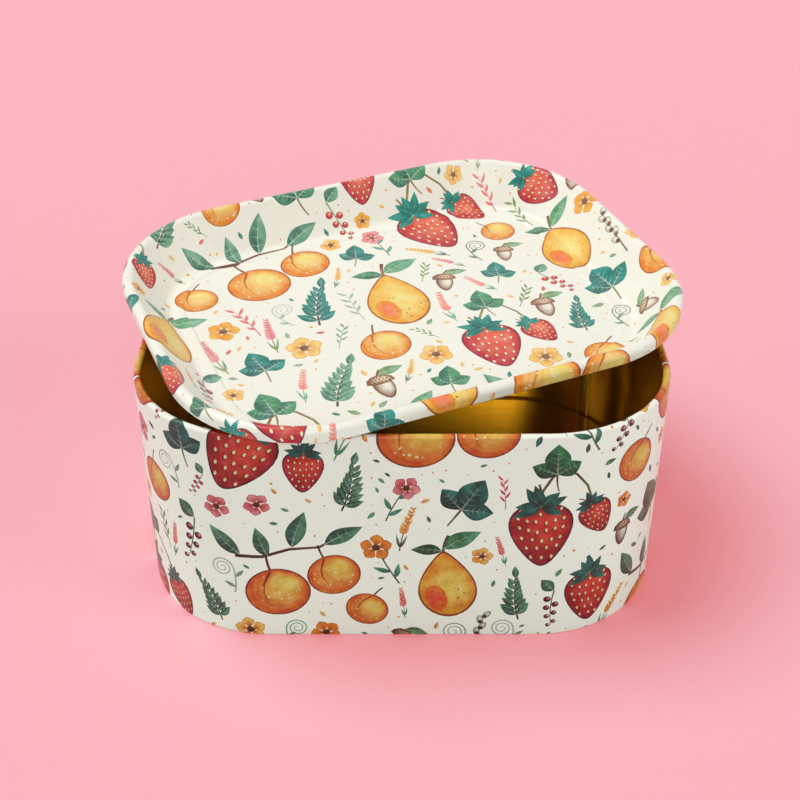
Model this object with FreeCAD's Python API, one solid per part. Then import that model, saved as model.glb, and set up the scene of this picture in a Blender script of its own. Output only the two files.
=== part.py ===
import FreeCAD
import Part
import math
import os

# The box, over the outside of its wall
box_length = 180.0
box_width = 141.5
box_height = 83.5
corner_radius = 44.5

# The tinplate that all three pieces are pressed from
sheet = 0.3

# The wall: its mouth is rolled inwards, and its lower edge is folded up inside to grip the bottom
rim_roll_diameter = 2.5
rim_roll_turn = 265.0
hem_bend_radius = 0.65
hem_height = 3.0
seam_clearance = 0.35

# The side seam stands on the inside of the wall, part of the way round the back right corner
side_seam_width = 4.5
side_seam_rise = 0.5
side_seam_turn = 46.0

# The bottom: a flat panel with a short skirt that reaches down into the fold
panel_recess = 3.5
panel_shoulder_radius = 1.2

# The lid: a tray with a rounded rim and a skirt that fits round the mouth
lid_clearance = 0.7
lid_skirt_height = 5.0
lid_rim_radius = 2.2
lid_roll_diameter = 1.8
lid_roll_turn = 250.0
tray_depth = 15.5
tray_flare = 38.0
tray_base_radius = 4.0
tray_ledge_width = 3.0
tray_ledge_rise = 0.6
tray_step_radius = 0.6
tray_step_slope = 40.0

# How the lid lies on the open box: turned, moved and tipped, its edge a hair above the mouth
lid_turn = 23.1
lid_tip = 3.8
lid_shift_right = -0.8
lid_shift_back = 11.5
lid_rest_gap = 0.3
lid_settle_step = 0.02

# The four corner axes are the same for all three pieces, because they nest
corner_x = box_length / 2 - corner_radius
corner_y = box_width / 2 - corner_radius

quarter = 90.0
half = 2 * quarter
arc_shares = (0, 0.5, 1)
up = FreeCAD.Vector(0, 0, 1)
rightwards = FreeCAD.Vector(1, 0, 0)
centre = FreeCAD.Vector(0, 0, 0)


def heading_vector(heading):
    """The unit vector in the XZ plane at this many degrees from +X towards +Z."""
    return FreeCAD.Vector(math.cos(math.radians(heading)), 0, math.sin(math.radians(heading)))


def bent_strip(start, heading, moves):
    """Cut through a bent sheet, drawn along one of its sides with the sheet to the left.

    A move is a straight run (length,) or a bend (radius, turn) whose turn is positive to the left.
    Returns the cut as a face, and the point where the drawn side ends.
    """
    point = start
    drawn_side = []
    other_side = []
    first_edge = Part.LineSegment(point, point + heading_vector(heading + quarter) * sheet)
    for move in moves:
        left = heading_vector(heading + quarter)
        if len(move) == 1:
            end = point + heading_vector(heading) * move[0]
            drawn_side.append(Part.LineSegment(point, end))
            other_side.append(Part.LineSegment(point + left * sheet, end + left * sheet))
        else:
            radius, turn = move
            hand = math.copysign(1, turn)
            bend_centre = point + left * (hand * radius)
            outward = [heading_vector(heading - hand * quarter + turn * share) for share in arc_shares]
            other_radius = radius - hand * sheet
            drawn_side.append(Part.Arc(*[bend_centre + way * radius for way in outward]))
            other_side.append(Part.Arc(*[bend_centre + way * other_radius for way in outward]))
            end = bend_centre + outward[-1] * radius
            heading += turn
        point = end
    last_edge = Part.LineSegment(point, point + heading_vector(heading + quarter) * sheet)
    loop = drawn_side + [last_edge] + other_side[::-1] + [first_edge]
    return Part.Face(Part.Wire([curve.toShape() for curve in loop])), point


def ring(cut):
    """A cut, drawn outwards from a corner's axis, carried along four straight sides and round four corners."""
    corners = ((corner_x, corner_y), (-corner_x, corner_y), (-corner_x, -corner_y), (corner_x, -corner_y))
    pieces = []
    for number, (x, y) in enumerate(corners):
        corner = FreeCAD.Vector(x, y, 0)
        face = cut.copy()
        face.rotate(centre, up, number * quarter)
        face.translate(corner)
        side_length = 2 * (corner_y, corner_x)[number % 2]
        backwards = FreeCAD.Rotation(up, number * quarter).multVec(FreeCAD.Vector(0, -side_length, 0))
        pieces.append(face.extrude(backwards))
        pieces.append(face.revolve(corner, up, quarter))
    return pieces[0].multiFuse(pieces[1:])


def plate(radius, top):
    """A flat plate of the sheet, with corners of this radius about the corner axes."""
    straight_x = Part.makeBox(2 * (corner_x + radius), 2 * corner_y, sheet,
                              FreeCAD.Vector(-corner_x - radius, -corner_y, top - sheet))
    straight_y = Part.makeBox(2 * corner_x, 2 * (corner_y + radius), sheet,
                              FreeCAD.Vector(-corner_x, -corner_y - radius, top - sheet))
    rounds = [Part.makeCylinder(radius, sheet, FreeCAD.Vector(x, y, top - sheet))
              for x in (-corner_x, corner_x) for y in (-corner_y, corner_y)]
    return straight_x.multiFuse([straight_y] + rounds).removeSplitter()


# Wall: up the inside of the fold, under it, up the outside and over into the rolled mouth
hem_width = 3 * sheet + 2 * seam_clearance
rim_roll_radius = rim_roll_diameter / 2
fold_end = FreeCAD.Vector(corner_radius - hem_width, 0, hem_height)
wall_cut, _ = bent_strip(fold_end, -quarter, [
    (hem_height - hem_bend_radius,),
    (hem_bend_radius, quarter),
    (hem_width - 2 * hem_bend_radius,),
    (hem_bend_radius, quarter),
    (box_height - hem_bend_radius - rim_roll_radius,),
    (rim_roll_radius, rim_roll_turn)])
wall = ring(wall_cut)

# Side seam: the folded joint of the wall's two ends, from the bottom panel up to the rolled mouth
panel_top = panel_recess + sheet
seam_foot = panel_top + seam_clearance
seam_head = box_height - rim_roll_diameter - seam_clearance
seam_outside = corner_radius - sheet / 2
seam_inside = corner_radius - sheet - side_seam_rise
seam_cut = Part.makePlane(seam_outside - seam_inside, seam_head - seam_foot,
                          FreeCAD.Vector(seam_inside, 0, seam_head), FreeCAD.Vector(0, 1, 0), rightwards)
seam_sweep = math.degrees(side_seam_width / corner_radius)
seam_cut.rotate(centre, up, side_seam_turn - seam_sweep / 2)
side_seam = seam_cut.revolve(centre, up, seam_sweep)
side_seam.translate(FreeCAD.Vector(corner_x, corner_y, 0))
body_wall = wall.fuse(side_seam).removeSplitter()

# Bottom: the skirt stands in the fold, and its shoulder turns into the flat panel
skirt_end = FreeCAD.Vector(corner_radius - sheet - seam_clearance, 0, sheet + seam_clearance)
bottom_cut, panel_edge = bent_strip(skirt_end, quarter, [
    (panel_top - panel_shoulder_radius - skirt_end.z,),
    (panel_shoulder_radius, quarter),
    (panel_shoulder_radius,)])
bottom_ring = ring(bottom_cut)
bottom_panel = bottom_ring.fuse(plate(panel_edge.x, panel_top)).removeSplitter()

# Lid: from the rolled edge of its skirt up, over the rim, down the flared wall, over the ledge to the panel
lid_roll_radius = lid_roll_diameter / 2
lid_corner_radius = corner_radius + lid_clearance + lid_roll_diameter
lid_roll_centre = FreeCAD.Vector(lid_corner_radius - lid_roll_radius, 0, lid_roll_radius - lid_skirt_height)
lid_roll_end = lid_roll_centre + heading_vector(-lid_roll_turn) * lid_roll_radius
flare_sine = math.sin(math.radians(tray_flare))
flare_cosine = math.cos(math.radians(tray_flare))
step_sine = math.sin(math.radians(tray_step_slope))
step_cosine = math.cos(math.radians(tray_step_slope))
rounds_drop = (lid_rim_radius + tray_base_radius) * (1 - flare_sine)
flared_run = (tray_depth - tray_ledge_rise - rounds_drop) / flare_cosine
step_run = (tray_ledge_rise - 2 * tray_step_radius * (1 - step_cosine)) / step_sine
lid_cut, tray_edge = bent_strip(lid_roll_end, quarter - lid_roll_turn, [
    (lid_roll_radius, lid_roll_turn),
    (lid_skirt_height - lid_roll_radius - lid_rim_radius,),
    (lid_rim_radius, half - tray_flare),
    (flared_run,),
    (tray_base_radius, tray_flare - quarter),
    (tray_ledge_width,),
    (tray_step_radius, tray_step_slope),
    (step_run,),
    (tray_step_radius, -tray_step_slope),
    (tray_step_radius,)])
lid_ring = ring(lid_cut)
tray_lid = lid_ring.fuse(plate(tray_edge.x, tray_edge.z)).removeSplitter()

# The lid comes down from well above, turned and tipped, until it lies the rest gap away from the mouth
tray_lid.rotate(centre, up, lid_turn)
tray_lid.rotate(centre, rightwards, lid_tip)
lid_start_height = box_height + tray_depth + box_width * math.sin(math.radians(lid_tip))
tray_lid.translate(FreeCAD.Vector(lid_shift_right, lid_shift_back, lid_start_height))
mouth_cut = Part.Face(Part.Wire(Part.makeCircle(
    rim_roll_radius, FreeCAD.Vector(corner_radius - rim_roll_radius, 0, box_height - rim_roll_radius),
    FreeCAD.Vector(0, 1, 0))))
mouth = ring(mouth_cut)
lid_gap = tray_lid.distToShape(mouth)[0]
while lid_gap > lid_rest_gap + lid_settle_step:
    tray_lid.translate(up * (lid_rest_gap - lid_gap))
    lid_gap = tray_lid.distToShape(mouth)[0]

os.makedirs("parts", exist_ok=True)
body_wall.exportStep("parts/body_wall.step")
bottom_panel.exportStep("parts/bottom_panel.step")
tray_lid.exportStep("parts/tray_lid.step")

for name, shape in (("body_wall", body_wall), ("bottom_panel", bottom_panel), ("tray_lid", tray_lid)):
    print(name, "solids", len(shape.Solids), "valid", shape.isValid(), "volume", round(shape.Volume, 1))
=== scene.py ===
import math
import random

import bmesh
import bpy
import numpy as np
from mathutils import Matrix, Vector
from mathutils.geometry import delaunay_2d_cdt


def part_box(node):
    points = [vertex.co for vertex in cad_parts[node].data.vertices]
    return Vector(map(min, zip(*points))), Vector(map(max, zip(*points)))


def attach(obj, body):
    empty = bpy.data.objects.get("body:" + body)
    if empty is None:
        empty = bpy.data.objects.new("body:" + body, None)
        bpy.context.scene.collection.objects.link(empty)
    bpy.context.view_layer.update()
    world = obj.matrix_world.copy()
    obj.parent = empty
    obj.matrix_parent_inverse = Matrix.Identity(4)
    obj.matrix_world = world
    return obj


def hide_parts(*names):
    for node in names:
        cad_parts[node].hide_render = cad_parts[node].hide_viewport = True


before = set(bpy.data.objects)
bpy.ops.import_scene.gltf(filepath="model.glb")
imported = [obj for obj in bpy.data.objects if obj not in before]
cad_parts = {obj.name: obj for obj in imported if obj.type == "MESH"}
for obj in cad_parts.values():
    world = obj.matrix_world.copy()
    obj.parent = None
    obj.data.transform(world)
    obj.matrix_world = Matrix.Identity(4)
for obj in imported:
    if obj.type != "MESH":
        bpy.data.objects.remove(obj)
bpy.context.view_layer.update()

# The wall of the box: one strip of printed tinplate, bent to a rounded oblong and joined by a folded
# seam inside the back right corner. Its mouth is rolled inwards to a smooth bead, and its lower
# edge is folded up inside to grip the bottom. The outside is printed and varnished, the inside lacquered.

millimetre = 0.001
wall_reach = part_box("body_wall")[1] / millimetre
corner_radius = 44.5
corner_x = round(wall_reach.x, 2) - corner_radius
corner_y = round(wall_reach.y, 2) - corner_radius
sheet = 0.3
box_height = 83.5
hem_height, hem_width, hem_bend = 3.0, 1.6, 0.65
mouth_roll, mouth_roll_turn = 1.25, 265.0
side_seam_turn, side_seam_width, side_seam_rise = 46.0, 4.5, 0.5
side_seam_foot, side_seam_head = 4.15, 80.65


class Section:
    """The cut through a bent sheet, as stations along its printed side.

    A move is a straight run (length,) or a bend (radius, turn), with the sheet to the left of the way taken.
    """

    fewest_steps = 3

    def __init__(self, start, heading, moves, bend_step=12.0):
        stations = [(start, heading)]
        point = np.array(start, float)
        for move in moves:
            if len(move) == 1:
                point = point + move[0] * self.way(heading)
                stations.append((point, heading))
                continue
            radius, turn = move
            hand = math.copysign(1, turn)
            middle = point + hand * radius * self.way(heading + 90)
            steps = max(self.fewest_steps, math.ceil(abs(turn) / bend_step))
            for step in range(1, steps + 1):
                now = heading + turn * step / steps
                point = middle - hand * radius * self.way(now + 90)
                stations.append((point, now))
            heading += turn
        self.points = np.array([place for place, way in stations], float)
        self.outward = np.array([self.way(way - 90) for place, way in stations])
        self.along = np.r_[0, np.cumsum(np.linalg.norm(np.diff(self.points, axis=0), axis=1))]

    @staticmethod
    def way(heading):
        """The unit vector at this many degrees."""
        return np.array([math.cos(math.radians(heading)), math.sin(math.radians(heading))])

    def other_side(self):
        """The same stations on the lacquered side, and the ways that it faces there."""
        return self.points - sheet * self.outward, -self.outward


def oblong(first_turn, corner_step=5.0):
    """Stations round the rounded oblong, anticlockwise from this many degrees round the back right corner.

    Each is a corner's axis (x, y), the way outwards from it (x, y), and the angle.
    """
    stations = []
    rounding = 1e-9
    for number in range(5):
        axis = (corner_x * (1, -1, -1, 1)[number % 4], corner_y * (1, 1, -1, -1)[number % 4])
        low = first_turn if number == 0 else 90.0 * number
        high = 360.0 + first_turn if number == 4 else 90.0 * (number + 1)
        steps = math.ceil((high - low) / corner_step - rounding)
        for step in range(steps + 1 if steps else 0):
            angle = low + (high - low) * step / steps
            stations.append((*axis, *Section.way(angle), angle))
    return np.array(stations)


# The strip as it is bent and seamed

seam_edge, lap_dent = 0.3, 0.12
touch = 0.01
wall_section = Section((corner_radius - hem_width, hem_height), -90.0, [
    (hem_height - hem_bend,), (hem_bend, 90.0), (hem_width - 2 * hem_bend,), (hem_bend, 90.0),
    (side_seam_foot - seam_edge - hem_bend,), (seam_edge,), (side_seam_head - side_seam_foot,), (seam_edge,),
    (box_height - mouth_roll - side_seam_head - seam_edge,), (mouth_roll, mouth_roll_turn)])
inner_points, inner_outward = wall_section.other_side()
loop_points = np.r_[wall_section.points, inner_points[::-1], wall_section.points[:1]]
loop_outward = np.r_[wall_section.outward, inner_outward[::-1], wall_section.outward[:1]]
loop_along = np.r_[0, np.cumsum(np.linalg.norm(np.diff(loop_points, axis=0), axis=1))]

round_wall = oblong(side_seam_turn)
seam_half = math.degrees(side_seam_width / 2 / corner_radius)
# Stations, in degrees from the seam's middle, that shape the lap outside and the fold inside
lap_turns = (0.25, 0.5)
fold_turns = (seam_half - 0.35, seam_half, seam_half + 0.4, seam_half + 0.75)
seam_stations = []
for *axis, _, _, angle in (round_wall[0], round_wall[-1]):
    hand = 1 if angle == side_seam_turn else -1
    for turn in lap_turns + fold_turns:
        seam_stations.append((*axis, *Section.way(angle + hand * turn), angle + hand * turn))
round_wall = np.r_[round_wall, seam_stations]
order = np.lexsort((np.arange(len(round_wall)), round_wall[:, 4].round(6)))
round_wall = round_wall[order]
steps = np.linalg.norm(np.diff(round_wall[:, :2] + corner_radius * round_wall[:, 2:4], axis=0), axis=1)
wall_round = np.r_[0, np.cumsum(steps)]

wall_grid = np.empty((len(wall_round), len(loop_along), 3))
wall_grid[..., :2] = round_wall[:, None, :2] + round_wall[:, None, 2:4] * loop_points[None, :, :1]
wall_grid[..., 2] = loop_points[None, :, 1]
wall_normals = np.empty_like(wall_grid)
wall_normals[..., :2] = round_wall[:, None, 2:4] * loop_outward[None, :, :1]
wall_normals[..., 2] = loop_outward[None, :, 1]
# At the seam the lacquered side is folded inwards, and the printed side has a fine dent along the lap
from_seam = np.minimum(round_wall[:, 4] - side_seam_turn, 360 + side_seam_turn - round_wall[:, 4])
gold_side = np.arange(len(loop_along)) >= len(wall_section.points)
by_seam = (loop_points[:, 1] > side_seam_foot - touch) & (loop_points[:, 1] < side_seam_head + touch)
by_seam &= loop_points[:, 0] > corner_radius - 2 * sheet
folded_in = np.outer(from_seam < seam_half + touch, by_seam & gold_side) * side_seam_rise
folded_in += np.outer(from_seam < touch, by_seam & ~gold_side) * lap_dent
slope = np.gradient(folded_in, wall_round, axis=0)
slope[[0, -1]] = 0
tangent = np.c_[-round_wall[:, 3], round_wall[:, 2]]
wall_grid[..., :2] -= round_wall[:, None, 2:4] * folded_in[..., None]
wall_normals[..., :2] += np.where(gold_side, -slope, slope)[..., None] * tangent[:, None, :]


def laid_on(grid, across, along, spots):
    """Where spots of the flat strip lie on the bent one, between the four stations around each."""
    i = np.clip(np.searchsorted(across, spots[:, 0], side="right") - 1, 0, len(across) - 2)
    j = np.clip(np.searchsorted(along, spots[:, 1], side="right") - 1, 0, len(along) - 2)
    a = ((spots[:, 0] - across[i]) / (across[i + 1] - across[i]))[:, None]
    b = ((spots[:, 1] - along[j]) / (along[j + 1] - along[j]))[:, None]
    return ((grid[i, j] * (1 - a) + grid[i + 1, j] * a) * (1 - b)
            + (grid[i, j + 1] * (1 - a) + grid[i + 1, j + 1] * a) * b)


def strip_lines(across, along):
    """The corners of a strip's stations, and the lines between neighbours."""
    points = [(x, y) for x in across for y in along]
    lines = []
    for i in range(len(across)):
        for j in range(len(along)):
            if i + 1 < len(across):
                lines.append((i * len(along) + j, (i + 1) * len(along) + j))
            if j + 1 < len(along):
                lines.append((i * len(along) + j, i * len(along) + j + 1))
    return points, lines


# Inks, and the drawings that the print is made of


def ink(red, green, blue):
    """A printing ink as it looks on the page, in 255ths, turned into the renderer's linear colour."""
    shares = np.array([red, green, blue]) / 255
    return np.where(shares <= 0.04045, shares / 12.92, ((shares + 0.055) / 1.055) ** 2.4)


def tone(first, second, share):
    """An ink part of the way from one ink to another."""
    return first * (1 - share) + second * share


white_ground = ink(244, 243, 229)
cherry, madder, wine = ink(222, 42, 34), ink(180, 20, 28), ink(96, 8, 20)
coral, rose, blush = ink(242, 96, 62), ink(212, 56, 86), ink(246, 150, 148)
tangerine, amber, straw = ink(238, 110, 14), ink(244, 164, 34), ink(252, 214, 96)
rust, chestnut, umber = ink(152, 56, 14), ink(120, 64, 32), ink(56, 30, 24)
fir, teal, sage = ink(0, 68, 62), ink(10, 114, 100), ink(92, 158, 118)
olive, moss, mist = ink(98, 120, 52), ink(48, 130, 70), ink(160, 174, 158)
sand, cream, stem_grey = ink(214, 178, 132), ink(244, 240, 218), ink(66, 70, 62)


def oval(x, y, across, along, turn=0.0, points=16):
    """An oval outline from its foot round to its head and back."""
    way, side = Section.way(turn + 90), Section.way(turn)
    angles = np.linspace(0, 2 * math.pi, points, endpoint=False)
    lengthwise = np.outer(-np.cos(angles), way) * along / 2
    crosswise = np.outer(np.sin(angles), side) * across / 2
    return np.array([x, y]) + lengthwise + crosswise


def curve(x, y, length, turn, bend, points=6):
    """The points of a gently bent line from its root."""
    shares = np.linspace(0, 1, points)
    return (np.array([x, y]) + np.outer(shares * length, Section.way(turn + 90))
            + np.outer(bend * shares ** 2, Section.way(turn)))


def leaf(x, y, length, width, turn, bend=0.0, belly=0.8, points=9):
    """A pointed leaf from its root to its tip and back, widest near the root when the belly is under 1."""
    half = width / 2 * np.sin(math.pi * np.linspace(0, 1, points) ** belly)
    spine, side = curve(x, y, length, turn, bend, points), Section.way(turn)
    right, left = spine + np.outer(half, side), spine - np.outer(half, side)
    return np.r_[right, left[-2:0:-1]]


def stalk(path, root, tip):
    """A drawn line: a thin band along the points of a path, from its width at the root to that at the tip."""
    path = np.array(path, float)
    along = np.gradient(path, axis=0)
    side = np.c_[along[:, 1], -along[:, 0]] / np.linalg.norm(along, axis=1)[:, None]
    half = np.linspace(root, tip, len(path))[:, None] / 2
    return np.r_[path + side * half, (path - side * half)[::-1]]


def veined_leaf(x, y, length, width, turn, bend, low, high, belly=0.85, points=11):
    """A leaf in two tones on either side of its midrib, with side veins."""
    vein_lean = 52
    whole = leaf(x, y, length, width, turn, bend, belly, points)
    spine = curve(x, y, length, turn, bend, points)
    patches = [(whole, tone(low, umber, 0.15), tone(low, high, 0.5)),
               (np.r_[spine, whole[1:points - 1][::-1]], tone(low, high, 0.3), high)]
    vein = tone(high, cream, 0.35)
    patches.append((stalk(spine[:-1], root=0.05 * width + 0.15, tip=0.12), vein, high))
    for number in range(2, points - 3, 2):
        for hand in (-1, 1):
            side = curve(*spine[number], length=0.33 * width, turn=turn - hand * vein_lean,
                         bend=hand * 0.1 * width, points=3)
            patches.append((stalk(side, root=0.28, tip=0.1), vein, high))
    return patches


def washed(outline, rim, edge, core, shift=(0.0, 0.0), steps=6, least=0.3, uneven=0.05):
    """A washed shape: a dark rim where the colour pooled, and uneven rings that lighten towards one side."""
    rim_share, coarse_share, coarse_points = 0.94, 0.8, 20
    middle = outline.mean(axis=0)
    angles = np.linspace(0, 2 * math.pi, len(outline), endpoint=False)
    patches = [(outline, rim, rim)]
    for step in range(steps):
        share = step / (steps - 1)
        flow = 1 + uneven * share * (np.sin(3 * angles + 2.1 * step) + 0.6 * np.sin(5 * angles - 1.3 * step))
        size = (rim_share - (rim_share - least) * share) * flow[:, None]
        ring = middle + np.array(shift) * share + (outline - middle) * size
        if size[0] < coarse_share and len(ring) > coarse_points:
            ring = ring[::2]
        patches.append((ring, tone(tone(rim, edge, 0.8), core, 0.85 * share), tone(edge, core, share)))
    return patches


def moved(patches, spot, turn=0.0, size=1.0):
    """A drawing turned, resized and laid at a spot."""
    spin = size * np.column_stack([Section.way(turn), Section.way(turn + 90)])
    return [(np.array(spot) + outline @ spin.T, low, high) for outline, low, high in patches]


def alternate(number):
    """The side that this leaf or berry of a twig grows on: 1 for the right and -1 for the left."""
    return 1 if number % 2 else -1


def fruit_outline(width, length, neck, waist=0.0, points=32):
    """The outline of a fruit, widest above its middle for a positive neck and below it for a negative one."""
    angles = np.linspace(0, 2 * math.pi, points, endpoint=False)
    swell = 0.72 - neck * np.cos(angles) - waist * np.cos(2 * angles)
    return np.c_[width / 2 * np.sin(angles) * swell, -length / 2 * np.cos(angles)]


def specks(rng, middle, spread, sizes, points, count=18):
    """Small round dots scattered over a fruit."""
    outlines = []
    for _ in range(count):
        angle, reach = rng.uniform(0, 2 * math.pi), spread * math.sqrt(rng.random())
        size = rng.uniform(*sizes)
        spot = (reach * math.cos(angle), middle + reach * math.sin(angle))
        outlines.append(oval(*spot, size, size, points=points))
    return outlines


def strawberry(rng):
    """A strawberry with its seeds and its leafy cap."""
    lowest_seed, highest_seed, seed_rows, seed_spacing, pit_offset = -9.4, 8.6, 6, 1.5, 0.2
    cap_height, cap_turns = 11.4, (-118, -78, -40, 0, 42, 80, 116)
    stem = curve(0, 11, length=9, turn=rng.uniform(-20, 20), bend=rng.uniform(-3, 3))
    patches = [(stalk(stem, root=1.0, tip=0.7), olive, chestnut)]
    body = fruit_outline(width=27, length=26, neck=0.3)
    patches += washed(body, wine, madder, tone(cherry, coral, 0.5), shift=(2.4, 2.6))
    right_side = body[:len(body) // 2 + 1]
    for height in np.linspace(lowest_seed, highest_seed, seed_rows):
        reach = 0.7 * np.interp(height, right_side[:, 1], right_side[:, 0])
        for seed in np.linspace(-reach, reach, round(reach / seed_spacing) + 1):
            seed += rng.uniform(-0.3, 0.3)
            lift = height + rng.uniform(-0.4, 0.4) + 0.03 * seed ** 2
            pit = oval(seed - pit_offset, lift - pit_offset, across=1.3, along=2.0, turn=-seed * 3, points=7)
            patches.append((pit, wine, madder))
            patches.append((oval(seed, lift, across=0.95, along=1.6, turn=-seed * 3, points=6), cream, straw))
    for turn in cap_turns:
        turn += rng.uniform(-8, 8)
        sepal = leaf(0, cap_height, length=rng.uniform(7.5, 10), width=3.8, turn=turn,
                     bend=rng.uniform(-1.5, 1.5), belly=0.75)
        patches.append((sepal, fir, teal))
        midrib = curve(0, cap_height, length=6, turn=turn, bend=0, points=4)
        patches.append((stalk(midrib, root=0.4, tip=0.15), sage, teal))
    return patches


def strawberry_bunch(rng):
    """Two strawberries that hang from one leaf."""
    large_stem = [(1, 11), (3, 18), (7, 23), (11, 25)]
    small_stem = [(19, 9), (18, 16), (15, 22), (11, 25)]
    patches = [(stalk(large_stem, root=1.1, tip=0.9), olive, chestnut),
               (stalk(small_stem, root=0.9, tip=0.8), olive, chestnut)]
    patches += moved(broad_leaf(rng), spot=(9, 26), turn=rng.uniform(-12, 12), size=0.75)
    patches += moved(strawberry(rng), spot=(20, 1), turn=14, size=0.6)
    patches += moved(strawberry(rng), spot=(0, 0), turn=-8, size=1.05)
    return moved(patches, spot=(-8, -6))


def apricot(rng):
    """An apricot with its cleft and a freckled skin."""
    cleft = [(-0.5, 9.4), (-3.8, 4.5), (-4.9, 0), (-4.2, -4.4), (-2, -8)]
    stem = curve(0, 8, length=9, turn=rng.uniform(-30, 30), bend=2)
    patches = [(stalk(stem, root=1.0, tip=0.8), chestnut, umber)]
    body = oval(0, 0, across=23, along=21, turn=rng.uniform(-15, 15), points=32)
    patches += washed(body, rust, tangerine, straw, shift=(3.4, 2.6))
    patches.append((stalk(cleft, root=1.0, tip=0.3), rust, tangerine))
    freckles = specks(rng, middle=0, spread=9, sizes=(0.5, 1.1), points=6)
    return patches + [(freckle, cream, straw) for freckle in freckles]


def apricot_branch(rng):
    """Two apricots on a short branch with four leaves."""
    branch = [(-17, 17), (-8, 14.5), (2, 15), (12, 13), (21, 16)]
    leaves = (((-15, 17), 42, 15), ((3, 15.5), -20, 16), ((14, 13.5), -62, 15), ((-6, 14), 6, 13))
    patches = [(stalk(branch, root=1.5, tip=0.8), umber, chestnut)]
    for spot, turn, length in leaves:
        turn += rng.uniform(-8, 8)
        patches += veined_leaf(*spot, length, width=0.42 * length, turn=turn, bend=2, low=fir, high=sage)
    patches += moved(apricot(rng), spot=(13, 0), turn=6, size=0.82)
    patches += moved(apricot(rng), spot=(-8, -2), turn=-6, size=1.0)
    return patches


def pear(rng):
    """A pear with a red cheek and two leaves."""
    stem = curve(0, 14.5, length=8, turn=rng.uniform(-20, 20), bend=2)
    patches = [(stalk(stem, root=0.9, tip=1.3), chestnut, umber)]
    patches += veined_leaf(0.3, 16.5, length=15, width=7, turn=-56, bend=2.5, low=moss, high=sage)
    patches += veined_leaf(-0.3, 15.5, length=11, width=5, turn=70, bend=-2, low=fir, high=moss)
    body = fruit_outline(width=25, length=31, neck=-0.27, waist=0.1)
    patches += washed(body, rust, amber, straw, shift=(2.2, -1.5))
    cheek = oval(-4.4, -6, across=8, along=13, turn=12, points=18)
    patches += washed(cheek, tone(amber, tangerine, 0.35), tangerine, coral, steps=4)
    freckles = specks(rng, middle=-5, spread=8, sizes=(0.4, 0.8), points=5)
    return patches + [(freckle, rust, rust) for freckle in freckles]


def blossom(rng):
    """A five-petalled blossom in one of three colourings."""
    petals, stamens = 5, 8
    edge, deep, pale, heart = rng.choice([
        (tangerine, tangerine, straw, umber), (rust, tangerine, amber, umber), (wine, rose, blush, wine)])
    first = rng.uniform(0, 360 / petals)
    patches = []
    for petal in range(petals):
        turn = first + petal * 360 / petals + rng.uniform(-5, 5)
        foot = 0.7 * Section.way(turn + 90)
        patches.append((leaf(*foot, length=6.4, width=5.8, turn=turn, belly=1.35, points=8), edge, deep))
        patches.append((leaf(*foot, length=6.0, width=5.1, turn=turn, belly=1.35, points=8), deep, pale))
        for lean in (-14, 0, 14):
            vein = curve(*foot, length=4.2 - 0.05 * abs(lean), turn=turn + lean, bend=0.2, points=3)
            patches.append((stalk(vein, root=0.42, tip=0.12), heart, deep))
    patches.append((oval(0, 0, across=3.6, along=3.6, points=10), heart, chestnut))
    for stamen in range(stamens):
        spot = 2.0 * Section.way(first + stamen * 360 / stamens)
        patches.append((oval(*spot, across=0.75, along=0.75, points=5), straw, amber))
    return patches


def blossom_stem(rng):
    """A blossom on a leafy stem."""
    spine = curve(0, -12, length=19, turn=0, bend=rng.uniform(-4, 4), points=7)
    patches = [(stalk(spine, root=0.7, tip=0.5), olive, stem_grey)]
    for number, hand in ((1, 1), (2, -1), (4, 1)):
        blade = leaf(*spine[number], length=7, width=2.2, turn=-hand * 48, bend=-hand * 0.8, points=8)
        patches.append((blade, teal, sage))
    return patches + moved(blossom(rng), spine[-1], size=0.85)


def leafy_sprig(rng):
    """A bent sprig with paired leaves."""
    bend = rng.choice((-5, 5)) * rng.uniform(0.7, 1.2)
    spine = curve(0, -14, length=27, turn=0, bend=bend, points=9)
    patches = [(stalk(spine, root=1.0, tip=0.4), umber, fir)]
    low, high = rng.choice([(fir, teal), (fir, moss), (fir, sage)])
    for number in range(1, len(spine) - 1):
        size = 1.0 - 0.07 * number
        for hand in (-1, 1):
            turn = -hand * (58 - 3 * number) + rng.uniform(-8, 8)
            patches += veined_leaf(*spine[number], length=10.5 * size, width=4.8 * size, turn=turn,
                                   bend=-hand * 1.2, low=low, high=high, belly=0.9, points=7)
    return patches + veined_leaf(*spine[-1], length=8, width=3.6, turn=-bend * 2, bend=0,
                                 low=low, high=high, belly=0.9, points=7)


def broad_leaf(rng):
    """A leaf of three broad lobes."""
    foot, lobes = (0, -3), ((-68, 12), (64, 12), (0, 16))
    low, high = rng.choice([(fir, teal), (fir, moss)])
    stem = curve(*foot, length=9, turn=176, bend=rng.uniform(-3, 3))
    patches = [(stalk(stem, root=1.0, tip=0.6), olive, chestnut)]
    for turn, length in lobes:
        turn += rng.uniform(-7, 7)
        patches += veined_leaf(*foot, length, width=0.72 * length, turn=turn, bend=0, low=low, high=high,
                               belly=0.95, points=13)
    return patches


def thin_twig(rng):
    """A thin twig with narrow leaves on alternate sides."""
    low, high = rng.choice([(mist, sage), (sage, olive), (olive, moss), (rose, coral), (stem_grey, mist)])
    bend = rng.uniform(-5, 5)
    spine = curve(0, -10, length=rng.uniform(18, 23), turn=0, bend=bend, points=9)
    patches = [(stalk(spine, root=0.6, tip=0.3), low, low)]
    for number in range(2, len(spine)):
        hand = alternate(number)
        turn = -hand * rng.uniform(30, 48) - bend
        blade = leaf(*spine[number], length=rng.uniform(4.5, 6.5), width=1.5, turn=turn, bend=-hand * 0.6,
                     points=6)
        patches.append((blade, low, high))
    return patches


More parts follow.
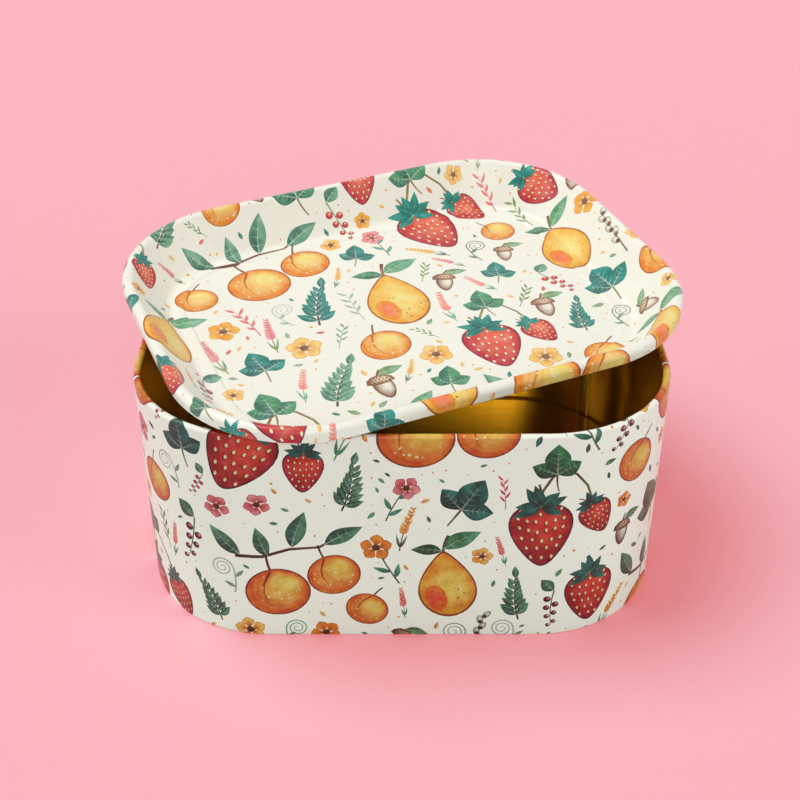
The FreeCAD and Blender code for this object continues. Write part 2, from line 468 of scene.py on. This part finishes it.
def catkin_twig(rng):
    """A twig of soft grey catkins."""
    spine = curve(0, -13, length=26, turn=0, bend=rng.uniform(-5, 5), points=8)
    patches = [(stalk(spine, root=0.8, tip=0.45), umber, chestnut)]
    for number in range(2, len(spine)):
        turn = -alternate(number) * rng.uniform(16, 30)
        place = spine[number] + 2.6 * Section.way(turn + 90)
        catkin = oval(*place, across=3.2, along=5.4, turn=turn, points=14)
        patches += washed(catkin, stem_grey, mist, cream, shift=(0.3, 0.4), steps=4, least=0.35)
        patches.append((leaf(*spine[number], length=2.6, width=2.4, turn=turn, points=6), umber, chestnut))
    return patches


def acorn(rng):
    """An acorn in its scaly cup, with one leaf."""
    cup = np.array([(-5.2, 1.2), (-2.6, 0.4), (0, 0.2), (2.6, 0.4), (5.2, 1.2),
                    (4.6, 3.4), (2.6, 4.9), (0, 5.4), (-2.6, 4.9), (-4.6, 3.4)])
    scale_heights, scale_spacing, row_narrowing = (1.6, 2.9, 4.1), 1.35, 0.9
    stem = curve(0, 4.5, length=4, turn=rng.uniform(-25, 25), bend=1)
    patches = [(stalk(stem, root=1.0, tip=0.8), chestnut, umber)]
    nut = washed(fruit_outline(width=10, length=12, neck=0.16), umber, chestnut, cream, shift=(1.2, 0.5))
    patches += moved(nut, spot=(0, -2))
    patches += washed(cup, umber, chestnut, sand, shift=(0.6, 0.4), steps=3, least=0.5)
    for row, height in enumerate(scale_heights):
        for place in np.arange(-3.6 + row * row_narrowing, 3.7 - row * row_narrowing, scale_spacing):
            patches.append((oval(place, height, across=0.7, along=0.9, points=6), umber, umber))
    return patches + veined_leaf(0.6, 5.5, length=10, width=4.6, turn=-72, bend=1.5, low=olive, high=sage,
                                 points=8)


def currant_string(rng):
    """A hanging string of currants under a leaf."""
    rim, edge, core = rng.choice([(wine, madder, coral), (madder, cherry, coral), (umber, wine, rose)])
    spine = curve(0, 10, length=-20, turn=0, bend=rng.uniform(-4, 4), points=9)
    patches = [(stalk(spine, root=0.7, tip=0.3), olive, stem_grey)]
    patches += veined_leaf(0, 10, length=9, width=6.5, turn=rng.choice((-62, 62)), bend=1,
                           low=fir, high=sage, belly=0.95, points=8)
    for number in range(2, len(spine)):
        size = 4.0 - 0.22 * number
        berry = spine[number] + (alternate(number) * 0.6 * size, -0.5)
        patches.append((stalk([spine[number], berry], root=0.35, tip=0.3), olive, stem_grey))
        patches += washed(oval(*berry, across=size, along=size, points=10), rim, edge, core,
                          shift=(0.3, 0.4), steps=2, least=0.5)
        patches.append((oval(*(berry + 0.17 * size), across=0.7, along=0.6, points=6), cream, cream))
    return patches


def lavender_stem(rng):
    """A spike of small paired flowers on a stem."""
    first_flower = 5
    stem, low, high = rng.choice([(olive, rose, blush), (sage, coral, blush), (stem_grey, tangerine, straw),
                                  (olive, amber, straw)])
    bend = rng.uniform(-4, 4)
    spine = curve(0, -12, length=24, turn=0, bend=bend, points=13)
    patches = [(stalk(spine, root=0.6, tip=0.3), stem, stem)]
    for hand in (-1, 1):
        blade = leaf(*spine[1], length=rng.uniform(6, 9), width=1.3, turn=-hand * 24, bend=-hand,
                     belly=0.6, points=7)
        patches.append((blade, stem, sage))
    for number in range(first_flower, len(spine)):
        size = 1.1 - 0.06 * (number - first_flower)
        for hand in (-1, 1):
            turn = -hand * rng.uniform(28, 46) - bend
            flower = leaf(*spine[number], length=3.4 * size, width=1.7 * size, turn=turn, belly=0.9, points=6)
            patches.append((flower, low, high))
    return patches


def tendril(rng):
    """A curled tendril with two small leaves."""
    coils, coil_reach, coil_end, coil_points = 2.3, 4.6, 0.5, 34
    colour = rng.choice((olive, sage, stem_grey, mist))
    hand = rng.choice((-1, 1))
    turns = np.linspace(0, coils * 2 * math.pi, coil_points)
    reach = coil_reach * (1 - turns / turns[-1]) ** 0.8 + coil_end
    coil = np.c_[hand * reach * np.cos(turns), 3 + reach * np.sin(turns)]
    stem = curve(*coil[0], length=-14, turn=0, bend=-hand * 3)[:0:-1]
    path = np.r_[stem, coil]
    patches = [(stalk(path, root=0.65, tip=0.3), colour, colour)]
    for number, lean in ((1, 50), (3, -54)):
        blade = leaf(*path[number], length=rng.uniform(4, 6), width=2.0, turn=lean, points=7)
        patches.append((blade, colour, sage))
    return patches


def seed_dot(rng):
    """A small round seed."""
    size = rng.uniform(0.8, 1.8)
    colour = rng.choice((cherry, madder, tangerine, amber, blush, sage))
    return [(oval(0, 0, across=size, along=size * rng.uniform(0.8, 1), points=9), colour, colour)]


def fallen_leaf(rng):
    """A small loose leaf."""
    low, high = rng.choice([(fir, teal), (moss, sage), (tangerine, straw), (madder, coral), (olive, sage)])
    length = rng.uniform(4.5, 7)
    return veined_leaf(0, -length / 2, length, width=0.42 * length, turn=0, bend=rng.uniform(-0.8, 0.8),
                       low=low, high=high, points=7)


def within(outline, spots):
    """Which of the spots lie inside a drawn shape."""
    inside = np.zeros(len(spots), bool)
    for (x0, y0), (x1, y1) in zip(outline, np.roll(outline, -1, axis=0)):
        if y0 != y1:
            beside = x0 + (x1 - x0) * (spots[:, 1] - y0) / (y1 - y0)
            inside ^= ((spots[:, 1] < y0) != (spots[:, 1] < y1)) & (spots[:, 0] < beside)
    return inside


class Print:
    """Drawings laid out on a flat blank without touching each other, the large ones first."""

    cell, cover_step = 0.8, 0.7
    drawings_of_each, like_apart = 3, 1.6

    def __init__(self, low, high, allowed, seed):
        self.low, self.high, self.allowed = np.array(low, float), np.array(high, float), allowed
        self.rng = random.Random(seed)
        self.taken = np.zeros(tuple(((self.high - self.low) / self.cell).astype(int) + 2), bool)
        self.patches = []

    def cover(self, patches):
        """Points all over a drawing, closer together than the cells."""
        points = []
        for outline, _, _ in patches:
            low, high = outline.min(axis=0), outline.max(axis=0)
            across, up = np.meshgrid(*(np.arange(*ends, self.cover_step) for ends in zip(low, high)))
            spots = np.c_[across.ravel(), up.ravel()]
            points += [outline, spots[within(outline, spots)]]
        return [(np.vstack(points), None, None)]

    def place(self, drawing, cover, spot, turn, size, gap):
        """Lays a drawing at a spot if its cells are free, and says if it did."""
        covered = moved(cover, spot, turn, size)[0][0]
        cells = ((covered - self.low) / self.cell).astype(int)
        cells = cells[((cells >= 0) & (cells < self.taken.shape)).all(axis=1)]
        if not self.allowed(covered).all() or self.taken[cells[:, 0], cells[:, 1]].any():
            return False
        reach = math.ceil(gap / self.cell)
        for across in range(-reach, reach + 1):
            for up in range(-reach, reach + 1):
                near = np.clip(cells + (across, up), 0, np.array(self.taken.shape) - 1)
                self.taken[near[:, 0], near[:, 1]] = True
        self.patches += moved(drawing, spot, turn, size)
        return True

    def scatter(self, kinds, tries, apart, gap, tilt, sizes):
        """Throws drawings at the blank and keeps those on free ground, furthest apart from their like."""
        made = [(number, kind(self.rng)) for _ in range(self.drawings_of_each)
                for number, kind in enumerate(kinds)]
        made = [(kind, drawing, self.cover(drawing)) for kind, drawing in made]
        kept = []
        for _ in range(tries):
            kind, drawing, cover = self.rng.choice(made)
            spot = np.array([self.rng.uniform(low, high) for low, high in zip(self.low, self.high)])
            turn, size = self.rng.uniform(-tilt, tilt), self.rng.uniform(*sizes)
            if any(np.hypot(*(spot - other)) < apart * (self.like_apart if kind == like else 1)
                   for like, other in kept):
                continue
            if self.place(drawing, cover, spot, turn, size, gap):
                kept.append((kind, spot))

    def fill(self):
        """Covers the blank, from the fruit down to the smallest sprigs, and gives all the shapes."""
        self.scatter([strawberry_bunch, apricot_branch, pear],
                     tries=900, apart=44, gap=1.4, tilt=22, sizes=(0.92, 1.1))
        self.scatter([leafy_sprig, broad_leaf, strawberry, apricot],
                     tries=1500, apart=23, gap=1.2, tilt=30, sizes=(0.6, 0.92))
        self.scatter([blossom, blossom_stem, acorn, currant_string],
                     tries=2500, apart=15, gap=0.8, tilt=35, sizes=(0.75, 1.0))
        self.scatter([thin_twig, lavender_stem, catkin_twig, tendril],
                     tries=6000, apart=7, gap=0.8, tilt=30, sizes=(0.7, 1.0))
        self.scatter([thin_twig, lavender_stem, blossom, currant_string],
                     tries=8000, apart=5, gap=0.8, tilt=60, sizes=(0.45, 0.7))
        self.scatter([seed_dot, fallen_leaf],
                     tries=1200, apart=5, gap=0.8, tilt=180, sizes=(0.6, 0.9))
        self.scatter([thin_twig, fallen_leaf, seed_dot],
                     tries=4000, apart=3.5, gap=0.5, tilt=80, sizes=(0.4, 0.55))
        return self.patches


seam_margin, roll_bare_stations = 2.0, 2
print_low = hem_height - hem_bend
print_high = wall_section.along[-1 - roll_bare_stations]


def off_the_seam(spots):
    """Which spots of the flat strip keep clear of the lap."""
    return (spots[:, 0] > seam_margin) & (spots[:, 0] < wall_round[-1] - seam_margin)


def on_printed_wall(spots):
    """Which spots are printed: all but the inside of the lower fold and the end of the roll."""
    return (spots[:, 1] > print_low) & (spots[:, 1] < print_high)


wall_patches = Print((0, print_low), (wall_round[-1], print_high), off_the_seam, seed=11).fill()


# The skin, cut along its bends and along every printed edge


def triangulated(points, cuts):
    """A flat blank cut into triangles along the given lines between its points."""
    snap, least_area = 1e-4, 1e-7
    out = delaunay_2d_cdt([Vector(point) for point in points], cuts, [], 0, snap, False)
    spots = np.array([tuple(corner) for corner in out[0]])
    triangles = np.array(out[2])
    a, b, c = (spots[triangles[:, corner]] for corner in range(3))
    return spots, triangles[np.abs(np.cross(b - a, c - a)) > least_area]


def shape_on_top(spots, triangles, patches, printable):
    """For each triangle, the number of the last shape printed there, or -1 on the bare ground."""
    middle = spots[triangles].mean(axis=1)
    order = np.argsort(middle[:, 0])
    across = middle[order, 0]
    top = np.full(len(triangles), -1)
    for number, (outline, _, _) in enumerate(patches):
        (low_x, low_y), (high_x, high_y) = outline.min(axis=0), outline.max(axis=0)
        near = order[np.searchsorted(across, low_x):np.searchsorted(across, high_x)]
        near = near[(middle[near, 1] > low_y) & (middle[near, 1] < high_y)]
        top[near[within(outline, middle[near])]] = number
    return np.where(printable(middle), top, -1)


def cut_skin(points, lines, patches, printable):
    """Cuts a flat blank along its bend lines and along every edge of a drawn shape that shows.

    Gives the corners, the triangles and, for each triangle, the number of the shape on top there, or -1.
    """
    corners, cuts = list(points), list(lines)
    for outline, _, _ in patches:
        first, count = len(corners), len(outline)
        corners += list(outline)
        cuts += [(first + number, first + (number + 1) % count) for number in range(count)]
    spots, triangles = triangulated(corners, cuts)
    edges = np.sort(np.concatenate([triangles[:, pair] for pair in ([0, 1], [1, 2], [2, 0])]), axis=1)
    beside = np.tile(shape_on_top(spots, triangles, patches, printable), 3)
    order = np.lexsort((edges[:, 1], edges[:, 0]))
    edges, beside = edges[order], beside[order]
    shared = (edges[1:] == edges[:-1]).all(axis=1)
    showing = edges[1:][shared & (beside[1:] != beside[:-1])]
    used, renumbered = np.unique(showing, return_inverse=True)
    cuts = list(lines) + (len(points) + renumbered.reshape(-1, 2)).tolist()
    spots, triangles = triangulated(list(points) + list(spots[used]), cuts)
    return spots, triangles, shape_on_top(spots, triangles, patches, printable)


def ink_of(spots, triangles, top, patches, painted_lighting_power, painted_shade):
    """The light that the ink lets through at each corner, washed from its shape's foot to its head.

    The last two numbers paint light and shade into the print: a power over 1 makes the inks deeper and one
    under 1 paler, and a factor under 1 darkens them evenly. The same print is made deeper and darker on the
    wall, as painted shade, and paler on the lid, as painted light, because the lid lies in brighter light
    than the wall.
    """
    colours = np.ones((len(triangles), 3, 4))
    drawn = top >= 0
    foot = np.array([outline[0] for outline, _, _ in patches])
    head = np.array([outline[len(outline) // 2] for outline, _, _ in patches])
    low = np.array([colour for _, colour, _ in patches])
    high = np.array([colour for _, _, colour in patches])
    shape = top[drawn]
    way = (head - foot)[shape]
    there = spots[triangles[drawn]] - foot[shape][:, None, :]
    share = np.clip((there * way[:, None, :]).sum(-1) / (way ** 2).sum(-1)[:, None], 0, 1)[..., None]
    through = tone(low[shape][:, None, :], high[shape][:, None, :], share) / white_ground
    # Painted light and shade: the inks are raised to a power and darkened by a factor set for each piece
    colours[drawn, :, :3] = painted_shade * np.minimum(through, 1) ** painted_lighting_power
    return colours


# Finishes


class Value:
    """A socket of a material's nodes. Sums and products of it add Math nodes."""

    def __init__(self, finish, socket):
        self.finish, self.socket = finish, socket

    def math(self, operation, first, second):
        return self.finish.node("ShaderNodeMath", {"operation": operation}, {"0": first, "1": second})

    def __add__(self, other):
        return self.math("ADD", self, other)

    def __radd__(self, other):
        return self.math("ADD", other, self)

    def __mul__(self, other):
        return self.math("MULTIPLY", self, other)

    def __rmul__(self, other):
        return self.math("MULTIPLY", other, self)


class Finish:
    """The nodes of a material or of the studio's world, all made by one method."""

    def __init__(self, owner):
        self.owner = owner
        self.owner.use_nodes = True
        self.tree = self.owner.node_tree
        self.tree.nodes.clear()

    def node(self, kind, settings, sockets, output=""):
        """Adds a node, sets it up, fills or links its sockets, and gives the named output or the first."""
        made = self.tree.nodes.new(kind)
        for key, value in settings.items():
            setattr(made, key, value)
        for key, value in sockets.items():
            if key.isdigit():
                socket = made.inputs[int(key)]
            else:
                socket = next(one for one in made.inputs if key in (one.identifier, one.name) and one.enabled)
            if isinstance(value, Value):
                self.tree.links.new(value.socket, socket)
            else:
                socket.default_value = value
        named = [one for one in made.outputs if output in (one.identifier, one.name)]
        return Value(self, (named or list(made.outputs) or [None])[0])

    def noise(self, place, scale, detail):
        return self.node("ShaderNodeTexNoise", {}, {"Vector": place, "Scale": scale, "Detail": detail})

    def mix(self, factor, first, second, blend="MIX"):
        """Two colours mixed, each of them a Value or three numbers."""
        first, second = (one if isinstance(one, Value) else (*one, 1.0) for one in (first, second))
        return self.node("ShaderNodeMix", {"data_type": "RGBA", "blend_type": blend},
                         {"Factor_Float": factor, "A_Color": first, "B_Color": second}, "Result_Color")

    def surface(self, **sockets):
        named = {key.replace("_", " "): value for key, value in sockets.items()}
        shader = self.node("ShaderNodeBsdfPrincipled", {}, named)
        self.node("ShaderNodeOutputMaterial", {}, {"Surface": shader})
        return self.owner


def printed_finish(name):
    """White-coated tin printed in soft washes of ink, under a clear satin varnish."""
    tin = Finish(bpy.data.materials.new(name))
    place = tin.node("ShaderNodeTexCoord", {}, {}, "Object")
    inks = tin.node("ShaderNodeAttribute", {"attribute_name": "ink"}, {}, "Color")
    wash = tin.noise(place, scale=260.0, detail=4.0)
    grain = tin.noise(place, scale=1700.0, detail=2.0)
    pooled = tin.node("ShaderNodeGamma", {}, {"Color": inks, "Gamma": 0.15 + 1.5 * wash + 0.2 * grain})
    toned = tin.mix(1.0, pooled, white_ground, "MULTIPLY")
    wave = tin.noise(place, scale=45.0, detail=1.0)
    skin = tin.node("ShaderNodeBump", {},
                    {"Strength": 0.06, "Distance": 0.002, "Height": wave + 0.03 * grain})
    return tin.surface(Base_Color=toned, Roughness=0.28 + 0.1 * grain, Normal=skin, Coat_Weight=0.15,
                       Coat_Roughness=0.12, IOR=1.4)


pale_gold, full_gold, deep_gold = ink(242, 213, 104), ink(224, 186, 70), ink(204, 163, 54)


def lacquer_finish(name, grain_scale, scuffed=0.13):
    """Bare tinplate under clear gold lacquer, streaked as it was rolled and duller where scuffed."""
    tin = Finish(bpy.data.materials.new(name))
    place = tin.node("ShaderNodeTexCoord", {}, {}, "Object")
    drawn = tin.node("ShaderNodeMapping", {}, {"Vector": place, "Scale": grain_scale})
    streak = tin.noise(drawn, scale=1.0, detail=4.0)
    cloud = tin.noise(place, scale=30.0, detail=2.0)
    gold = tin.mix(streak, pale_gold, full_gold)
    toned = tin.mix(cloud * 0.5, gold, deep_gold)
    skin = tin.node("ShaderNodeBump", {}, {"Strength": 0.05, "Distance": 0.0004, "Height": streak})
    return tin.surface(Base_Color=toned, Metallic=0.93, Roughness=scuffed + 0.12 * streak, Normal=skin)


def placed(name, data):
    """A new object in the scene that shows this mesh, lamp or camera."""
    made = bpy.data.objects.new(name, data)
    bpy.context.scene.collection.objects.link(made)
    return made


def tin_piece(name, places, normals, triangles, colours, uvs, finishes, finish_used):
    """A closed mesh of one tinplate piece, with its inks on the corners of its faces."""
    weld, sliver = 2e-6, 1e-6
    mesh = bpy.data.meshes.new(name)
    mesh.from_pydata((places * millimetre).tolist(), [], triangles.tolist())
    for finish in finishes:
        mesh.materials.append(finish)
    mesh.polygons.foreach_set("material_index", finish_used.astype(np.int32))
    attribute = mesh.attributes.new("ink", "FLOAT_COLOR", "CORNER")
    attribute.data.foreach_set("color", colours.reshape(-1).astype(np.float32))
    mesh.uv_layers.new(name="OFBake").data.foreach_set("uv", uvs.reshape(-1).astype(np.float32))
    normal = mesh.attributes.new("smooth_normal", "FLOAT_VECTOR", "POINT")
    normal.data.foreach_set("vector", normals.reshape(-1).astype(np.float32))
    work = bmesh.new()
    work.from_mesh(mesh)
    bmesh.ops.remove_doubles(work, verts=work.verts, dist=weld)
    bmesh.ops.dissolve_degenerate(work, edges=work.edges, dist=sliver)
    bmesh.ops.triangulate(work, faces=work.faces)
    for face in work.faces:
        face.smooth = True
    work.to_mesh(mesh)
    work.free()
    smooth = np.empty(len(mesh.vertices) * 3, np.float32)
    mesh.attributes["smooth_normal"].data.foreach_get("vector", smooth)
    mesh.normals_split_custom_set_from_vertices(smooth.reshape(-1, 3).tolist())
    mesh.attributes.remove(mesh.attributes["smooth_normal"])
    return placed(name, mesh)


# The finished wall

points, lines = strip_lines(wall_round, loop_along)
spots, triangles, top = cut_skin(points, lines, wall_patches, on_printed_wall)
middle = spots[triangles].mean(axis=1)
lacquered = middle[:, 1] > wall_section.along[-1]
# Painted shade: the wall's inks are made deeper and darker than the lid's, because the wall lies in less
# light
colours = ink_of(spots, triangles, top, wall_patches, painted_lighting_power=1.1, painted_shade=0.75)

# The wall's surface map: two halves of the print, one above the other, and two of the lacquer above them
map_margin, row_gap = 0.01, 3.0
half_way = wall_round[np.searchsorted(wall_round, wall_round[-1] / 2)]
second_half = middle[:, 0] > half_way
map_scale = (1 - 3 * map_margin) / half_way
print_rows = (wall_section.along[-1] + row_gap) * map_scale
gold_rows = (1 - 2 * map_margin - 2 * print_rows) / 2
gold_scale = (gold_rows - map_margin) / (loop_along[-1] - wall_section.along[-1])
uvs = spots[triangles]
uvs[..., 0] = (uvs[..., 0] - np.where(second_half, half_way, 0)[:, None]) * map_scale + map_margin
printed_v = uvs[..., 1] * map_scale + np.where(second_half, print_rows, 0)[:, None]
gold_v = (uvs[..., 1] - wall_section.along[-1]) * gold_scale + 2 * print_rows
gold_v += np.where(second_half, gold_rows, 0)[:, None]
uvs[..., 1] = np.where(lacquered[:, None], gold_v, printed_v) + map_margin

fine_grain, long_grain, fold_grain = 420.0, 14.0, 30.0
printed_tin = printed_finish("printed_tinplate")
gold_wall = lacquer_finish("gold_lacquer_wall", (fine_grain, fine_grain, long_grain))
seam_fold = lacquer_finish("gold_lacquer_seam_fold", (fine_grain, fine_grain, fold_grain), scuffed=0.42)
to_seam = np.minimum(middle[:, 0], wall_round[-1] - middle[:, 0])
fold_low, fold_high = (math.radians(turn) * corner_radius for turn in (fold_turns[0], fold_turns[2]))
on_fold = lacquered & (to_seam > fold_low) & (to_seam < fold_high)
wall = tin_piece("box_wall", laid_on(wall_grid, wall_round, loop_along, spots),
                 laid_on(wall_normals, wall_round, loop_along, spots), triangles, colours, uvs,
                 [printed_tin, gold_wall, seam_fold], lacquered + 1 * on_fold)
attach(wall, "box")
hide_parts("body_wall")

# The bottom of the box: a flat pressed panel of lacquered tinplate whose short skirt stands in the
# fold along the wall's lower edge, so it lies a few millimetres above what the box stands on.

gold_floor = lacquer_finish("gold_lacquer_panel", (long_grain, fine_grain, fine_grain))
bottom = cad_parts["bottom_panel"]
for slot in bottom.material_slots:
    slot.material = gold_floor

# The lid: a shallow tray pressed from printed tinplate, with a rounded rim and a skirt that fits round
# the mouth and ends in a rolled edge. It lies askew across the open box. Gold lacquer underneath.

lid_radius = 47.0
lid_skirt, lid_rim, lid_roll = 5.0, 2.2, 0.9
lid_roll_turn = 250.0
tray_depth, tray_flare, tray_base = 15.5, 38.0, 4.0
tray_ledge, tray_step, tray_step_bend, tray_step_slope = 3.0, 0.6, 0.6, 40.0
lid_turn, lid_tip = 23.1, 3.8
lid_right, lid_back = -0.8, 11.5

lid_start = np.array([lid_radius - lid_roll, lid_roll - lid_skirt]) + lid_roll * Section.way(-lid_roll_turn)
rounds_drop = (lid_rim + tray_base) * (1 - math.sin(math.radians(tray_flare)))
flared_run = (tray_depth - tray_step - rounds_drop) / math.cos(math.radians(tray_flare))
step_run = ((tray_step - 2 * tray_step_bend * (1 - math.cos(math.radians(tray_step_slope))))
            / math.sin(math.radians(tray_step_slope)))
lid_section = Section(lid_start, 90.0 - lid_roll_turn, [
    (lid_roll, lid_roll_turn), (lid_skirt - lid_roll - lid_rim,), (lid_rim, 180.0 - tray_flare),
    (flared_run,), (tray_base, tray_flare - 90.0), (tray_ledge,), (tray_step_bend, tray_step_slope),
    (step_run,), (tray_step_bend, -tray_step_slope), (tray_step_bend,)])
under_points, under_outward = lid_section.other_side()
panel_radius = lid_section.points[-1][0]
blank_radius = panel_radius + lid_section.along[-1] - lid_section.along

round_lid = oblong(0.0, corner_step=4.5)[:-1]
count = len(round_lid)
blank_points = [tuple(station[:2] + radius * station[2:4])
                for radius in blank_radius for station in round_lid]
blank_lines = []
for ring in range(len(blank_radius)):
    for number in range(count):
        blank_lines.append((ring * count + number, ring * count + (number + 1) % count))
        if ring + 1 < len(blank_radius):
            blank_lines.append((ring * count + number, (ring + 1) * count + number))


def from_blank(spots):
    """How far spots of the flat blank lie out from the corner axes, the nearest axis points, the ways out."""
    least_reach = 1e-9
    axis = np.clip(spots, (-corner_x, -corner_y), (corner_x, corner_y))
    reach = np.linalg.norm(spots - axis, axis=1)
    return reach, axis, (spots - axis) / np.maximum(reach, least_reach)[:, None]


def pressed(spots, side_points, side_outward):
    """Where spots of the flat blank lie on the pressed lid, and the way its surface faces there."""
    reach, axis, way = from_blank(spots)
    along = blank_radius[::-1]
    radius = np.where(reach <= panel_radius, reach, np.interp(reach, along, side_points[::-1, 0]))
    height = np.interp(reach, along, side_points[::-1, 1])
    facing = np.array([np.interp(reach, along, side_outward[::-1, k]) for k in range(2)]).T
    facing[reach <= panel_radius, 0] = 0
    return np.c_[axis + way * radius[:, None], height], np.c_[way * facing[:, :1], facing[:, 1]]


roll_printed_stations, print_overrun = 8, 14.0
edge_limit = blank_radius[roll_printed_stations]
lid_half = np.array([corner_x, corner_y]) + edge_limit


def near_the_lid(spots):
    """Which spots lie on the lid's blank, or so little past it that a drawing runs off the edge."""
    return from_blank(spots)[0] < edge_limit + print_overrun


def on_printed_lid(spots):
    """Which spots of the lid's blank are printed: all but the end of its rolled edge."""
    return from_blank(spots)[0] < edge_limit


lid_patches = Print(-lid_half, lid_half, near_the_lid, seed=23).fill()
spots, triangles, top = cut_skin(blank_points, blank_lines, lid_patches, on_printed_lid)
# Painted light: the lid's inks are made paler than the wall's, because the lid lies in brighter light
colours = ink_of(spots, triangles, top, lid_patches, painted_lighting_power=0.65, painted_shade=1.0)
top_places, top_normals = pressed(spots, lid_section.points, lid_section.outward)
under_spots, under_triangles = triangulated(blank_points, blank_lines)
under_places, under_normals = pressed(under_spots, under_points, under_outward)
under_triangles = under_triangles[:, ::-1]

# The cut edge of the sheet joins the lid's two skins, inside its rolled edge
rim_top = np.array([lid_section.points[0][0] * station[2:4] + station[:2] for station in round_lid])
rim_under = np.array([under_points[0][0] * station[2:4] + station[:2] for station in round_lid])
rim_places = np.r_[np.c_[rim_top, np.full(count, lid_section.points[0][1])],
                   np.c_[rim_under, np.full(count, under_points[0][1])]]
first = len(spots) + len(under_spots)
rim_triangles = []
for number in range(count):
    following = (number + 1) % count
    a, b = first + number, first + following
    rim_triangles += [(b, a, a + count), (b, a + count, b + count)]
places = np.r_[top_places, under_places, rim_places]
rim_normals = np.tile((rim_under - rim_top) / sheet, (2, 1))
normals = np.r_[top_normals, under_normals, np.c_[rim_normals, np.zeros(2 * count)]]
all_triangles = np.r_[triangles, under_triangles + len(spots), rim_triangles]
under = np.r_[np.zeros(len(triangles), bool), np.ones(len(all_triangles) - len(triangles), bool)]
all_colours = np.ones((len(all_triangles), 3, 4))
all_colours[:len(triangles)] = colours

# The lid's surface map: the printed blank, with the lacquered one above it, pressed flatter
map_edge, blank_margin = map_margin / 2, 1.0
blank_spots = np.r_[spots, under_spots, rim_top, rim_under]
blank_half = np.array([corner_x, corner_y]) + blank_radius[0] + blank_margin
uvs = blank_spots[all_triangles]
lid_map = (1 - 3 * map_edge) / 2 / blank_half[0]
printed_rows = 2 * blank_half[1] * lid_map
under_map = (1 - printed_rows - 6 * map_edge) / 2 / blank_half[1]
uvs[~under] = (uvs[~under] + blank_half) * lid_map + map_edge
uvs[under] = (uvs[under] + blank_half) * (lid_map, under_map) + (map_edge, printed_rows + 4 * map_edge)

pose = Matrix.Rotation(math.radians(lid_tip), 3, "X") @ Matrix.Rotation(math.radians(lid_turn), 3, "Z")
places = places @ np.array(pose).T + (lid_right, lid_back, 0)
normals = normals @ np.array(pose).T
places[:, 2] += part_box("tray_lid")[1].z / millimetre - places[:, 2].max()
printed_lid = printed_finish("printed_lid")
gold_lid = lacquer_finish("gold_lacquer_lid", (fine_grain, long_grain, fine_grain))
lid = tin_piece("tray_lid_pressing", places, normals, all_triangles, all_colours, uvs,
                [printed_lid, gold_lid], under)
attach(lid, "lid")
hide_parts("tray_lid")

# The studio: a sheet of pale pink paper under a broad soft lamp from above, behind and to the left, with
# weaker ones in front and at both sides. The camera looks down at the box from straight in front.
# The paper and the sky are pink to the eye, and plainer to the light that they throw back. To the eye the
# paper is a bluish grey that also glows red. This painted glow makes its lit parts pink and paints the box's
# shadow on it rosy.

floor_reach = 4.0
floor_mesh = bpy.data.meshes.new("floor")
floor_corners = [(floor_reach * x, floor_reach * y, 0) for x, y in ((-1, -1), (1, -1), (1, 1), (-1, 1))]
floor_mesh.from_pydata(floor_corners, [], [(0, 1, 2, 3)])
floor = placed("floor", floor_mesh)


def seen(finish):
    """1 for what is seen straight, in a shine or through something clear, and 0 for light on its way."""
    rays = [finish.node("ShaderNodeLightPath", {}, {}, kind)
            for kind in ("Is Camera Ray", "Is Glossy Ray", "Is Transmission Ray")]
    return rays[0] + rays[1] + rays[2]


# Painted glow: the camera and shines see a red glow on the paper that makes its shadow rosy, though the paper
# is not a lamp
paper_to_light, paper_to_eye = (0.75, 0.79, 0.78), (0.44, 0.443, 0.504)
no_glow, painted_rosy_glow = (0.0, 0.0, 0.0), (0.5, 0.0, 0.0)
paper = Finish(bpy.data.materials.new("pale_pink_paper"))
paper_colour = paper.mix(seen(paper), paper_to_light, paper_to_eye)
painted_glow = paper.mix(seen(paper), no_glow, painted_rosy_glow)
floor_mesh.materials.append(paper.surface(Base_Color=paper_colour, Roughness=0.9, Emission_Color=painted_glow,
                                          Emission_Strength=1.0))

sky_to_light, sky_to_eye = (0.22, 0.22, 0.22), ink(250, 232, 235)
studio = Finish(bpy.data.worlds.new("studio"))
bpy.context.scene.world = studio.owner
sky = studio.mix(seen(studio), sky_to_light, sky_to_eye)
studio.node("ShaderNodeOutputWorld", {}, {"Surface": studio.node("ShaderNodeBackground", {}, {"Color": sky})})


def soft_lamp(name, place, spread, power):
    """A broad soft lamp, so far off that it lights the box and the whole floor evenly."""
    lamp = bpy.data.lights.new(name, "SUN")
    lamp.angle, lamp.energy = math.radians(spread), power
    placed(name, lamp).rotation_euler = Vector(place).to_track_quat("Z", "Y").to_euler()


soft_lamp("key_lamp", place=(-0.5, 0.2, 1.1), spread=35.0, power=1.85)
soft_lamp("front_lamp", place=(0.05, -1.0, 0.75), spread=35.0, power=0.63)
soft_lamp("left_lamp", place=(-1.2, -0.2, 0.4), spread=30.0, power=0.42)
soft_lamp("right_lamp", place=(1.2, -0.45, 0.45), spread=30.0, power=0.8)

camera_lens, camera_dip = 60.33, 33.81
camera_data = bpy.data.cameras.new("camera")
camera_data.sensor_width = 36.0
camera_data.lens = camera_lens
camera = placed("camera", camera_data)
camera.location = (-0.00069, -0.40878, 0.32356)
camera.rotation_euler = (math.radians(90.0 - camera_dip), 0.0, 0.0)
bpy.context.scene.camera = camera
bpy.context.scene.view_settings.view_transform = "Standard"
